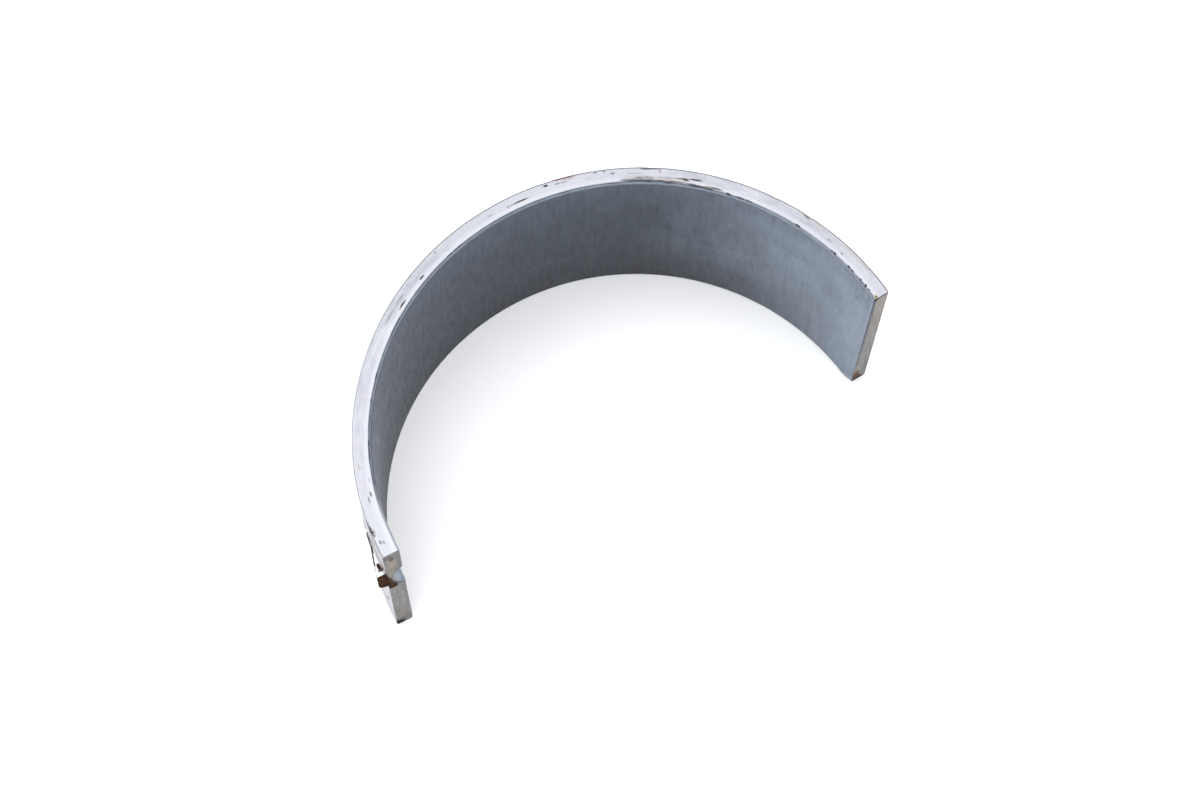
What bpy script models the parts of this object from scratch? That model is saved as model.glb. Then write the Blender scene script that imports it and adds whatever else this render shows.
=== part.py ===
"""Engine bearing shell: the half of a split plain bearing that seats in one half of a housing.

The shell is one piece of bimetal strip, a steel back with a bonded lining, bent to a half ring.
Both ends of its bore are chamfered, its other edges are broken, and a punch has pressed a locating
lug out of the back at one parting face, which leaves a recess in the bore behind it.

Metres, +Z up. The shell stands on one side face with its bore axis upright. The origin is on that
lower side face at the crown, in the middle of the wall, where such a shell's wall is gauged.
+X runs across the two parting faces and +Y from the bore axis towards the crown.
"""
import math

import bmesh
import bpy
from mathutils import Matrix, Vector

# Driving dimensions of the half ring
OUTER_RADIUS = 0.0412                # the back, as it springs open outside its housing
WALL = 0.0028                        # steel back and lining together
WIDTH = 0.0320                       # along the bore axis
ARC_ANGLE = math.radians(177.0)      # from one parting face to the other
BORE_CHAMFER = 0.0004                # both ends of the bore, at 45 degrees
BACK_EDGE_BREAK = 0.00018            # both ends of the back
PARTING_EDGE_BREAK = 0.00015         # all round each parting face

# Driving dimensions of the locating lug, on the back
LUG_CENTRE_HEIGHT = 0.0218           # above the lower side face
LUG_WIDTH = 0.0054                   # along the bore axis
LUG_STAND = 0.00125                  # proud of the back, at its end
LUG_RAMP = 0.0054                    # from the parting face to where it has sunk into the back
LUG_SETBACK = 0.0001                 # its end lies this far behind the parting face
LUG_CORNER_RADIUS = 0.0010           # along its lower outer edge
LUG_EDGE_BREAK = 0.00015             # along its upper outer edge

# Driving dimensions of the punch's recess, in the bore
RECESS_WIDTH = 0.0068                # along the bore axis, at the parting face
RECESS_DEPTH = 0.0018                # below the bore, at the parting face
RECESS_RUN = 0.0062                  # from the parting face to where it has faded out
RECESS_DROP = 0.0004                 # its centre lies this far below the lug's centre

# Fineness of the mesh
ARC_STEPS = 118
PUNCH_SIDES = 56
CORNER_SEGMENTS = 5
SMOOTH_LIMIT = math.radians(30.0)
BEVEL_LIMIT = math.radians(60.0)     # edges turned by more than this are broken

# What follows from them
BORE_RADIUS = OUTER_RADIUS - WALL
GAUGE_RADIUS = OUTER_RADIUS - WALL / 2
OVERSHOOT = WALL / 2                 # how far a tool runs past the surface that it goes through

# Finish, read from the satin grey of the bore and the bright side faces
METAL_COLOUR = (0.60, 0.63, 0.68, 1.0)
METAL_ROUGHNESS = 0.42
METAL_METALLIC = 0.9


def clear_scene():
    for scene_object in list(bpy.data.objects):
        bpy.data.objects.remove(scene_object, do_unlink=True)


def new_collection(name):
    collection = bpy.data.collections.new(name)
    bpy.context.scene.collection.children.link(collection)
    return collection


def metal(name):
    material = bpy.data.materials.new(name)
    material.use_nodes = True
    shader = material.node_tree.nodes["Principled BSDF"]
    shader.inputs["Base Color"].default_value = METAL_COLOUR
    shader.inputs["Roughness"].default_value = METAL_ROUGHNESS
    shader.inputs["Metallic"].default_value = METAL_METALLIC
    material.diffuse_color = METAL_COLOUR
    return material


def object_from_bmesh(name, form, collection):
    mesh = bpy.data.meshes.new(name)
    form.to_mesh(mesh)
    form.free()
    made = bpy.data.objects.new(name, mesh)
    collection.objects.link(made)
    return made


def as_tool(tool, parent):
    """Make an object a tool that cuts or joins its parent, and is no part of the model itself."""
    tool.parent = parent
    tool.hide_render = True
    tool.display_type = "WIRE"
    return tool


def strip_section():
    """The strip's section at +X, from the top of the back round to the top of the bore."""
    return [
        (OUTER_RADIUS - BACK_EDGE_BREAK, WIDTH),
        (OUTER_RADIUS, WIDTH - BACK_EDGE_BREAK),
        (OUTER_RADIUS, BACK_EDGE_BREAK),
        (OUTER_RADIUS - BACK_EDGE_BREAK, 0.0),
        (BORE_RADIUS + BORE_CHAMFER, 0.0),
        (BORE_RADIUS, BORE_CHAMFER),
        (BORE_RADIUS, WIDTH - BORE_CHAMFER),
        (BORE_RADIUS + BORE_CHAMFER, WIDTH),
    ]


def half_ring(name, collection):
    """Turn the strip's section through the arc, close its two ends and break their edges."""
    section = bmesh.new()
    corners = [section.verts.new((radius, 0.0, height)) for radius, height in strip_section()]
    for first, second in zip(corners, corners[1:] + corners[:1]):
        section.edges.new((first, second))
    turned = object_from_bmesh(name + "_section", section, collection)

    screw = turned.modifiers.new("bend", "SCREW")
    screw.axis = "Z"
    screw.angle = ARC_ANGLE
    screw.steps = ARC_STEPS
    screw.render_steps = ARC_STEPS
    screw.use_merge_vertices = False

    graph = bpy.context.evaluated_depsgraph_get()
    open_mesh = bpy.data.meshes.new_from_object(turned.evaluated_get(graph))
    bpy.data.objects.remove(turned, do_unlink=True)
    form = bmesh.new()
    form.from_mesh(open_mesh)
    bpy.data.meshes.remove(open_mesh)
    bmesh.ops.holes_fill(form, edges=[edge for edge in form.edges if edge.is_boundary], sides=0)
    bmesh.ops.recalc_face_normals(form, faces=form.faces)
    shell = object_from_bmesh(name, form, collection)

    edges = shell.modifiers.new("parting_edges", "BEVEL")
    edges.width = PARTING_EDGE_BREAK
    edges.segments = 1
    edges.limit_method = "ANGLE"
    edges.angle_limit = BEVEL_LIMIT
    return shell


def mid_height(edge):
    return (edge.verts[0].co.z + edge.verts[1].co.z) / 2


def round_edge(form, edge, radius, segments):
    bmesh.ops.bevel(form, geom=[edge], offset=radius, segments=segments, profile=0.5,
                    affect="EDGES")


def lug_block(collection):
    """The lug as a block: +X is out of the back and +Y out of the parting face.

    Its outer face slopes down into the back, and it goes on under the surface past that line.
    """
    back_drop = OUTER_RADIUS - math.sqrt(OUTER_RADIUS ** 2 - LUG_RAMP ** 2)
    slope = (LUG_STAND + back_drop) / (LUG_RAMP - LUG_SETBACK)
    length = LUG_RAMP + OVERSHOOT / 2 - LUG_SETBACK
    depth = LUG_STAND + OVERSHOOT
    centre = Vector((
        OUTER_RADIUS + LUG_STAND - depth / 2,
        -LUG_SETBACK - length / 2,
        LUG_CENTRE_HEIGHT,
    ))
    size = Vector((depth, length, LUG_WIDTH))
    form = bmesh.new()
    bmesh.ops.create_cube(form, size=1.0, matrix=Matrix.LocRotScale(centre, None, size))
    outer_face = max(form.faces, key=lambda face: face.calc_center_median().x)
    for corner in outer_face.verts:
        if corner.co.y < centre.y:
            corner.co.x -= slope * length
    lower_edge = min(outer_face.edges, key=mid_height)
    upper_edge = max(outer_face.edges, key=mid_height)
    round_edge(form, lower_edge, LUG_CORNER_RADIUS, CORNER_SEGMENTS)
    round_edge(form, upper_edge, LUG_EDGE_BREAK, 1)
    return object_from_bmesh("lug_block", form, collection)


def recess_punch(collection):
    """The round punch nose that sinks into the bore at the parting face, in the lug's frame."""
    bore_drop = BORE_RADIUS - math.sqrt(BORE_RADIUS ** 2 - RECESS_RUN ** 2)
    tilt = math.atan((RECESS_DEPTH + bore_drop) / RECESS_RUN)
    bite = RECESS_DEPTH * math.cos(tilt)
    radius = ((RECESS_WIDTH / 2) ** 2 + bite ** 2) / (2 * bite)
    along = Vector((math.sin(tilt), math.cos(tilt), 0.0))
    inward = Vector((-math.cos(tilt), math.sin(tilt), 0.0))
    height = LUG_CENTRE_HEIGHT - RECESS_DROP
    mouth = Vector((BORE_RADIUS + RECESS_DEPTH, 0.0, height)) + radius * inward
    length = 2 * (RECESS_RUN + radius)
    form = bmesh.new()
    bmesh.ops.create_cone(form, cap_ends=True, segments=PUNCH_SIDES, radius1=radius,
                          radius2=radius, depth=length,
                          matrix=along.to_track_quat("Z", "Y").to_matrix().to_4x4())
    bmesh.ops.translate(form, verts=form.verts, vec=mouth)
    return object_from_bmesh("recess_punch", form, collection)


def join_or_cut(target, tool, operation):
    boolean = target.modifiers.new(tool.name, "BOOLEAN")
    boolean.operation = operation
    boolean.solver = "EXACT"
    boolean.object = tool


def bearing_shell(parts, tools):
    shell = half_ring("bearing_shell", parts)
    shell.location = (0.0, -GAUGE_RADIUS, 0.0)
    shell.rotation_euler = (0.0, 0.0, math.pi / 2 - ARC_ANGLE / 2)
    shell.data.materials.append(metal("bearing_metal"))
    shell.data.shade_smooth()
    shell.data.set_sharp_from_angle(angle=SMOOTH_LIMIT)

    lug = as_tool(lug_block(tools), shell)
    punch = as_tool(recess_punch(tools), shell)
    for tool in (lug, punch):
        tool.rotation_euler = (0.0, 0.0, ARC_ANGLE)
    join_or_cut(shell, lug, "UNION")
    join_or_cut(shell, punch, "DIFFERENCE")
    return shell


def main():
    clear_scene()
    bearing_shell(new_collection("engine_bearing_shell"), new_collection("tools"))


main()
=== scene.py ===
# %% [markdown]
# # Engine bearing shell
# This is half of a split plain bearing, which has lain on a shelf long enough to gather small rust
# marks. The real one starts as a flat bimetal strip, steel with a soft grey lining on one side. The
# strip is cut to a blank, bent to a half ring, chamfered, and a punch presses a locating lug out of
# its back at one end. The lesson follows the same order: blank, bend, press, knocks, finishes.
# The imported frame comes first, because its solid says how big the part is and where it stands.

import math

import bmesh
import bpy
import numpy as np
from mathutils import Matrix, Vector, noise


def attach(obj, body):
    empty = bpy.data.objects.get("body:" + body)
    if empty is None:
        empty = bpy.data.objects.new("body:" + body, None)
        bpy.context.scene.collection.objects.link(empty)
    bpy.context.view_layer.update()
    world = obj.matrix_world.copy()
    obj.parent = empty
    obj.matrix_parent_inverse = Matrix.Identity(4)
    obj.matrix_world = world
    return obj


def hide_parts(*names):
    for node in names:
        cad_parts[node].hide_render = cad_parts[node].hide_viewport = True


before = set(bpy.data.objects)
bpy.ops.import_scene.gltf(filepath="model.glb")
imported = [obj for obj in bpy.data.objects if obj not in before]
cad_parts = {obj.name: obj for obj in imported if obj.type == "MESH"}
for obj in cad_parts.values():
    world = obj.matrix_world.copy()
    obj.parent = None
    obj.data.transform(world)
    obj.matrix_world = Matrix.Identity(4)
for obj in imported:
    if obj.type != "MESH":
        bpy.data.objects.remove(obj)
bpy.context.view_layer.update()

# %% [markdown]
# ## The view
# The photograph was taken from high in front of the shell, a little to the left of it. Fitting a
# pinhole camera to the traced rims gives a place and three directions, which are easier to check
# than angles: what is right, what is up, and what points back from the shell to the camera.

# %% Set up the camera
SENSOR_WIDTH_MM = 36.0
LENS_MM = 73.658
CAMERA_PLACE = Vector((-0.069868, -0.142607, 0.353759))
CAMERA_RIGHT = Vector((0.870011, -0.492894, 0.011709))
CAMERA_UP = Vector((0.454152, 0.810418, 0.370092))
CAMERA_BACK = Vector((-0.191905, -0.316667, 0.928921))


def place_camera():
    lens = bpy.data.cameras.new("camera")
    lens.sensor_width = SENSOR_WIDTH_MM
    lens.lens = LENS_MM
    lens.clip_start = 0.01
    lens.clip_end = 20.0
    camera = bpy.data.objects.new("camera", lens)
    turn = Matrix((CAMERA_RIGHT, CAMERA_UP, CAMERA_BACK)).transposed()
    camera.matrix_world = Matrix.LocRotScale(CAMERA_PLACE, turn.to_quaternion(), None)
    bpy.context.scene.collection.objects.link(camera)
    bpy.context.scene.camera = camera
    return camera


print("camera stands", round(CAMERA_PLACE.length, 3), "m away:", place_camera().name)

# %% [markdown]
# ## The sizes of the strip
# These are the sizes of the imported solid, in millimetres. Three distances place every point of the
# strip: along it from the lug end, across its wall from the bore to the back, and its height above
# the lower side face. The bend, the press and every finish work with these three.

# %% Name the sizes
MM = 0.001
OUTER_RADIUS = 41.2
WALL = 2.8
WIDTH = 32.0
ARC = math.radians(177.0)
BORE_CHAMFER = 0.4
LUG_END_CHAMFER = 0.6                # share of the bore chamfer that is left at the lug end
BACK_EDGE_BREAK = 0.2
PARTING_EDGE_BREAK = 0.1
BORE_RADIUS = OUTER_RADIUS - WALL
GAUGE_RADIUS = OUTER_RADIUS - WALL / 2
STRIP_LENGTH = GAUGE_RADIUS * ARC
LUG_END_ANGLE = math.pi / 2 + ARC / 2
DISTANCES = ("along", "across", "height")
NEAR = 0.01                          # mm; closer than this counts as on a surface
print("strip length in mm:", round(STRIP_LENGTH, 2))

# %% [markdown]
# ## Bend the blank with Geometry Nodes
# The half ring follows a rule, so a node tree makes it: a block of rows and columns stands for the
# blank, its rows are spread so that they are fine beside the edges, its edges are cut back to
# flats, and it is bent about the bore axis. The sizes are the tree's named inputs. A swept profile
# would also give a half ring, but a block has clean rows on its two end faces too, which the press
# needs.

# %% Small helpers for any node tree


def is_socket(value):
    return isinstance(value, bpy.types.NodeSocket)


def feed(socket, value):
    """Join a socket to another one, or set it to a plain value."""
    if is_socket(value):
        socket.id_data.links.new(value, socket)
    else:
        socket.default_value = value


def add_node(kind, inputs=(), tree=None, **settings):
    """A new node with some settings, its inputs given by name or by number.

    A socket knows its tree, so the tree is given only where no input is joined to a socket.
    """
    inputs = dict(inputs)
    tree = tree or next(value.id_data for value in inputs.values() if is_socket(value))
    node = tree.nodes.new(kind)
    for name, value in settings.items():
        setattr(node, name, value)
    for socket, value in inputs.items():
        feed(node.inputs[socket], value)
    return node


def calc(operation, *values):
    return add_node("ShaderNodeMath", enumerate(values), operation=operation).outputs[0]


def vector_calc(operation, inputs):
    return add_node("ShaderNodeVectorMath", inputs, operation=operation).outputs


def chained(operation):
    """A helper that works one operation through two values or more."""
    def work(first, *others):
        for other in others:
            first = calc(operation, first, other)
        return first
    return work


plus, minus, times, strongest = map(chained, ("ADD", "SUBTRACT", "MULTIPLY", "MAXIMUM"))


def rescale(value, start, end, low, high, curve="LINEAR"):
    """Turn start..end into low..high, and hold it there on both sides."""
    inputs = enumerate((value, start, end, low, high))
    node = add_node("ShaderNodeMapRange", inputs, clamp=True, interpolation_type=curve)
    return node.outputs[0]


def point(*places):
    return add_node("ShaderNodeCombineXYZ", enumerate(places)).outputs[0]


# %% Rows that are fine beside the edges
FINE_ROW = 0.1                       # mm between rows beside an edge
FINE_BORDER = 0.6                    # mm from each edge that have fine rows
FINE_ROWS = round(FINE_BORDER / FINE_ROW)
BACK_FINE_ROWS = 4
WALL_MIDDLE_ROWS = 6
WIDTH_MIDDLE_ROWS = 30
LENGTH_MIDDLE_ROWS = 360


def spread(share, stretches):
    """Turn a share of all rows into a distance: each stretch has its own length and its rows."""
    total = sum(rows for length, rows in stretches)
    distance, first = 0.0, 0
    for length, rows in stretches:
        last = first + rows
        part = rescale(share, first / total, last / total, 0.0, length)
        distance = plus(distance, part)
        first = last
    return distance, total + 1


def cut_edge(first, second, size):
    """Push two distances in from their faces until they lie on the flat that cuts the edge."""
    short = minus(size, plus(first, second))
    push = times(strongest(short, 0.0), 0.5)
    return plus(first, push), plus(second, push)


def from_nearer_end(distance, whole):
    """How far a point is from the nearer of two ends, and on which side of the middle it is."""
    middle = times(whole, 0.5)
    beyond = minus(distance, middle)
    side = calc("SIGN", beyond)
    near = minus(middle, calc("ABSOLUTE", beyond))
    return near, side, middle


def from_the_start(near, side, middle):
    return plus(middle, times(side, minus(middle, near)))


# %% The tree that bends the strip
STRIP_SIZES = {
    "Outer radius": OUTER_RADIUS,
    "Wall": WALL,
    "Width": WIDTH,
    "Arc": ARC,
    "Bore chamfer": BORE_CHAMFER * LUG_END_CHAMFER,
    "Back edge break": BACK_EDGE_BREAK,
    "Parting edge break": PARTING_EDGE_BREAK,
}


def store(geometry, name, value):
    inputs = {"Geometry": geometry, "Name": name, "Value": value}
    kind = "GeometryNodeStoreNamedAttribute"
    return add_node(kind, inputs, data_type="FLOAT", domain="POINT").outputs[0]


def bend_strip_tree(metal):
    tree = bpy.data.node_groups.new("bend_strip", "GeometryNodeTree")
    tree.interface.new_socket("Geometry", in_out="OUTPUT", socket_type="NodeSocketGeometry")
    for name in STRIP_SIZES:
        tree.interface.new_socket(name, in_out="INPUT", socket_type="NodeSocketFloat")
    sizes = tree.nodes.new("NodeGroupInput").outputs
    wall, width = sizes["Wall"], sizes["Width"]
    bore_radius = minus(sizes["Outer radius"], wall)
    gauge = plus(bore_radius, times(wall, 0.5))
    length = times(gauge, sizes["Arc"])

    block = add_node("GeometryNodeMeshCube", {"Size": (1.0, 1.0, 1.0)}, tree)
    position = add_node("GeometryNodeInputPosition", tree=tree).outputs[0]
    place = add_node("ShaderNodeSeparateXYZ", {0: position})
    shares = [plus(share, 0.5) for share in place.outputs]

    middle_length = minus(length, 2 * FINE_BORDER)
    middle_width = minus(width, 2 * FINE_BORDER)
    back_border = BACK_FINE_ROWS * FINE_ROW
    middle_wall = minus(wall, FINE_BORDER + back_border)
    border = (FINE_BORDER, FINE_ROWS)
    along, along_rows = spread(shares[0], [border, (middle_length, LENGTH_MIDDLE_ROWS), border])
    across, across_rows = spread(shares[1], [
        border, (middle_wall, WALL_MIDDLE_ROWS), (back_border, BACK_FINE_ROWS)])
    height, height_rows = spread(shares[2], [border, (middle_width, WIDTH_MIDDLE_ROWS), border])
    for name, rows in zip("XYZ", (along_rows, across_rows, height_rows)):
        block.inputs["Vertices " + name].default_value = rows

    end, end_side, end_middle = from_nearer_end(along, length)
    face, face_side, face_middle = from_nearer_end(height, width)
    across, face = cut_edge(across, face, sizes["Bore chamfer"])
    back, face = cut_edge(minus(wall, across), face, sizes["Back edge break"])
    back, end = cut_edge(back, end, sizes["Parting edge break"])
    across = minus(wall, back)
    across, end = cut_edge(across, end, sizes["Parting edge break"])
    face, end = cut_edge(face, end, sizes["Parting edge break"])
    along = from_the_start(end, end_side, end_middle)
    height = from_the_start(face, face_side, face_middle)

    geometry = block.outputs["Mesh"]
    for name, value in zip(DISTANCES, (along, across, height)):
        geometry = store(geometry, name, value)

    turned = calc("DIVIDE", minus(along, end_middle), gauge)
    angle = minus(math.pi / 2, turned)
    radius = plus(bore_radius, across)
    right = times(radius, calc("COSINE", angle))
    forward = minus(times(radius, calc("SINE", angle)), gauge)
    bent = vector_calc("SCALE", {0: point(right, forward, height), "Scale": MM})[0]
    for kind, inputs in (
        ("GeometryNodeSetPosition", {"Position": bent}),
        ("GeometryNodeMergeByDistance", {"Distance": FINE_ROW * MM / 20}),
        ("GeometryNodeRealizeInstances", {}),
        ("GeometryNodeSetMaterial", {"Material": metal}),
    ):
        geometry = add_node(kind, {"Geometry": geometry, **inputs}).outputs[0]
    add_node("NodeGroupOutput", {0: geometry})
    return tree


# %% Bend the blank and keep it as a plain mesh


def bend_blank(metal):
    shell = bpy.data.objects.new("worn_shell", bpy.data.meshes.new("empty_blank"))
    bpy.context.scene.collection.objects.link(shell)
    bend = shell.modifiers.new("bend_strip", "NODES")
    bend.node_group = bend_strip_tree(metal)
    for socket in bend.node_group.interface.items_tree:
        if socket.in_out == "INPUT":
            bend[socket.identifier] = STRIP_SIZES[socket.name]
    graph = bpy.context.evaluated_depsgraph_get()
    plain = bpy.data.meshes.new_from_object(shell.evaluated_get(graph))
    shell.modifiers.remove(bend)
    shell.data = plain
    plain.name = "worn_shell"
    return shell


shell = bend_blank(bpy.data.materials.new("blank_metal"))
print("bent blank:", len(shell.data.vertices), "points,", len(shell.data.polygons), "faces")

# %% [markdown]
# ## Finer faces where the punch works
# Rows a millimetre apart are enough for a plain wall, but not for a lug that is 5 mm wide. So the
# rows are divided again beside the lug, and the columns at each knock on the edge. The three stored
# distances are divided with them, so the new points know their place too.

# %% Divide the rows beside the lug and the knocks
PRESS_REACH = 11.0                   # mm from the lug end
PRESS_LOWEST, PRESS_HIGHEST = 16.5, 27.6
TALL_ROW, ROW_CUTS = 0.5, 8          # rows taller than this many mm are cut this many times
LONG_COLUMN, COLUMN_CUTS = 0.2, 2


def layers_of(form):
    return [form.verts.layers.float[name] for name in DISTANCES]


def divide(form, chosen, layer, shortest, cuts):
    """Cut the chosen edges that run in one layer's direction and are longer than shortest."""
    edges = [
        edge for edge in form.edges
        if abs(edge.verts[0][layer] - edge.verts[1][layer]) > shortest
        and chosen(edge.verts[0]) and chosen(edge.verts[1])
    ]
    bmesh.ops.subdivide_edges(form, edges=edges, cuts=cuts, use_grid_fill=True)
    return len(edges)


def divide_press_zone(form):
    along, _, height = layers_of(form)

    def in_press_zone(vert):
        return vert[along] < PRESS_REACH and PRESS_LOWEST < vert[height] < PRESS_HIGHEST

    rows = divide(form, in_press_zone, height, TALL_ROW, ROW_CUTS)
    columns = divide(form, in_press_zone, along, LONG_COLUMN, COLUMN_CUTS)
    return rows, columns


# %% [markdown]
# ## The lug and its recess
# On the real shell one stroke of a round-nosed punch makes both: it sinks into the bore, and the
# metal behind it shears along two flanks and stands out of the back as a lug that runs down to
# nothing. Two height fields say the same thing: how deep the bore is sunk, and how far the back
# stands out. Points inside the end face share both, in proportion to their place in the wall.

# %% Height fields of the press
LUG_TOP, LUG_BOTTOM = 24.6, 18.9
LUG_STAND, LUG_RAMP, LUG_SETBACK = 1.25, 5.4, 0.15
LUG_ROUNDING = 1.7                   # height of the round on its lower side
LUG_TAIL_STAND, LUG_TAIL_END, LUG_TAIL_FADE = 0.2, 8.2, 1.5
LUMP_ALONG, LUMP_HEIGHT, LUMP_STAND, LUMP_SPAN = 8.6, 22.6, 0.18, 0.9
RECESS_HEIGHT, RECESS_WIDTH, RECESS_DEPTH, RECESS_RUN = 21.4, 6.8, 1.8, 6.2
RECESS_LIMIT = 1.4                   # times its run; the bore is whole beyond that
JUST_INSIDE = 0.999                  # of the punch nose's radius
LIP_STAND, LIP_PLACE, LIP_SPAN = 0.02, 0.12, 0.14
SOFTNESS = 0.05


def soft_positive(value):
    """The part above nothing, with a small round where it starts."""
    return (value + np.sqrt(value ** 2 + SOFTNESS ** 2)) / 2


def lug_stand(along, height):
    ramp = LUG_STAND * (1 - (along - LUG_SETBACK) / LUG_RAMP)
    tail = LUG_TAIL_STAND * np.clip((LUG_TAIL_END - along) / LUG_TAIL_FADE, 0, 1)
    outer = np.maximum(ramp, tail)
    under = np.clip(1 - (height - LUG_BOTTOM) / LUG_ROUNDING, 0, 1)
    stand = np.clip(outer * np.sqrt(1 - under ** 2), 0, None)
    inside = (height > LUG_BOTTOM) & (height < LUG_TOP) & (along > LUG_SETBACK)
    from_lump = ((along - LUMP_ALONG) / LUMP_SPAN) ** 2
    from_lump = from_lump + ((height - LUMP_HEIGHT) / (2 * LUMP_SPAN)) ** 2
    return np.where(inside, stand, 0.0) + LUMP_STAND * np.exp(-from_lump)


def recess_sink(along, height):
    nose = ((RECESS_WIDTH / 2) ** 2 + RECESS_DEPTH ** 2) / (2 * RECESS_DEPTH)
    aside = np.clip(np.abs(height - RECESS_HEIGHT), 0, nose * JUST_INSIDE)
    round_off = nose - np.sqrt(nose ** 2 - aside ** 2)
    fade = RECESS_DEPTH * (1 - along / RECESS_RUN)
    hollow = along * (RECESS_RUN - along) / (2 * BORE_RADIUS)
    sink = fade - hollow - round_off
    sink = np.where(along < RECESS_RUN * RECESS_LIMIT, sink, -RECESS_DEPTH)
    lip = LIP_STAND * np.exp(-((sink + LIP_PLACE) / LIP_SPAN) ** 2)
    return soft_positive(sink) - lip * (along < RECESS_RUN)


# %% Press them, and cut the knocks into the edges
INNER_KNOCKS = (
    # angle in degrees, bite and length in mm, along the inner edge of the upper side face
    (144.4, 0.06, 0.7), (138.8, 0.05, 0.9), (41.8, 0.10, 0.7), (38.9, 0.06, 1.4),
    (37.2, 0.06, 1.2), (25.4, 0.14, 0.5), (24.8, 0.12, 0.5), (15.9, 0.10, 0.5), (15.1, 0.15, 0.6),
    (10.8, 0.14, 0.5), (9.7, 0.10, 0.6), (7.0, 0.11, 0.5), (6.2, 0.07, 0.4), (5.3, 0.17, 0.4),
    (4.2, 0.07, 0.4), (55.2, 0.07, 1.6), (59.1, 0.06, 1.4), (49.0, 0.07, 1.8), (46.2, 0.06, 1.2),
)
OUTER_KNOCKS = (
    (24.6, 0.08, 1.6), (21.6, 0.06, 1.2), (32.4, 0.05, 0.9), (58.4, 0.07, 2.2), (8.6, 0.05, 1.4),
    (70.4, 0.05, 0.8), (171.6, 0.10, 1.0), (172.8, 0.15, 1.2), (173.6, 0.10, 0.7),
    (81.0, 0.06, 0.8),
)
INNER_KNOCK_REACH, OUTER_KNOCK_REACH, KNOCK_DROP = 1.3, 0.9, 0.85
INNER_RAGGEDNESS, OUTER_RAGGEDNESS = 0.035, 0.018
PLAIN_CORNER_ROUND, LUG_CORNER_ROUND = 1.2, 0.3     # worn lower edges of the parting faces
PLAIN_END_WEAR, LUG_END_WEAR = 0.28, 0.24           # long edges of the two parting faces
PLAIN_BACK_WEAR = 0.2                               # the plain end's edge on the back
PLAIN_CORNER_WEAR, PLAIN_CORNER_REACH = 0.7, 2.4    # the plain end's lower inner corner
BACK_RUB, BACK_RUB_REACH = 0.13, 11.0               # the back is thinner towards the lug end
LUG_STARTS = 0.02                                   # mm of stand, where the lug leaves the back
TINY = 1e-9                                         # keeps a division from nothing


def along_at(degrees):
    """How far along the strip an angle about the bore axis lies."""
    return (LUG_END_ANGLE - math.radians(degrees)) * GAUGE_RADIUS


def divide_at_knocks(form):
    along, across, height = layers_of(form)
    total = 0
    edges = (
        (INNER_KNOCKS, -NEAR, INNER_KNOCK_REACH),
        (OUTER_KNOCKS, WALL - OUTER_KNOCK_REACH, WALL + NEAR),
    )
    for knocks, lowest, highest in edges:
        for degrees, _, reach in knocks:
            middle = along_at(degrees)

            def in_knock_zone(vert):
                return (abs(vert[along] - middle) < reach and lowest < vert[across] < highest
                        and vert[height] > WIDTH - KNOCK_DROP)

            total += divide(form, in_knock_zone, along, LONG_COLUMN, COLUMN_CUTS)
    return total


def ragged(along, seed, span):
    """Slow and quick wander of an edge, between about -1 and 1."""
    return np.array([
        noise.noise(Vector((place / span, seed, 0.0)))
        + 0.6 * noise.noise(Vector((place * 3 / span, seed, 7.0)))
        for place in along
    ])


def bite_of(along, knocks):
    bite = np.zeros_like(along)
    for degrees, depth, length in knocks:
        beside = np.abs(along - along_at(degrees)) / (length / 2)
        bite = np.maximum(bite, depth * np.clip(1.25 - beside ** 1.5, 0, 1))
    return bite


def cut_back(first, second, size):
    """The same flat cut as in the node tree, for arrays of distances."""
    push = np.clip(size - first - second, 0, None) / 2
    return first + push, second + push


def round_corner(first, second, radius):
    """Turn the square corner that two distances span into a quarter of a circle."""
    first_in, second_in = radius - first, radius - second
    inside = (first_in > 0) & (second_in > 0)
    longer = np.maximum(first_in, second_in)
    shrink = np.where(inside, longer / np.maximum(np.hypot(first_in, second_in), TINY), 1.0)
    return (np.where(inside, radius - first_in * shrink, first),
            np.where(inside, radius - second_in * shrink, second))


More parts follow.
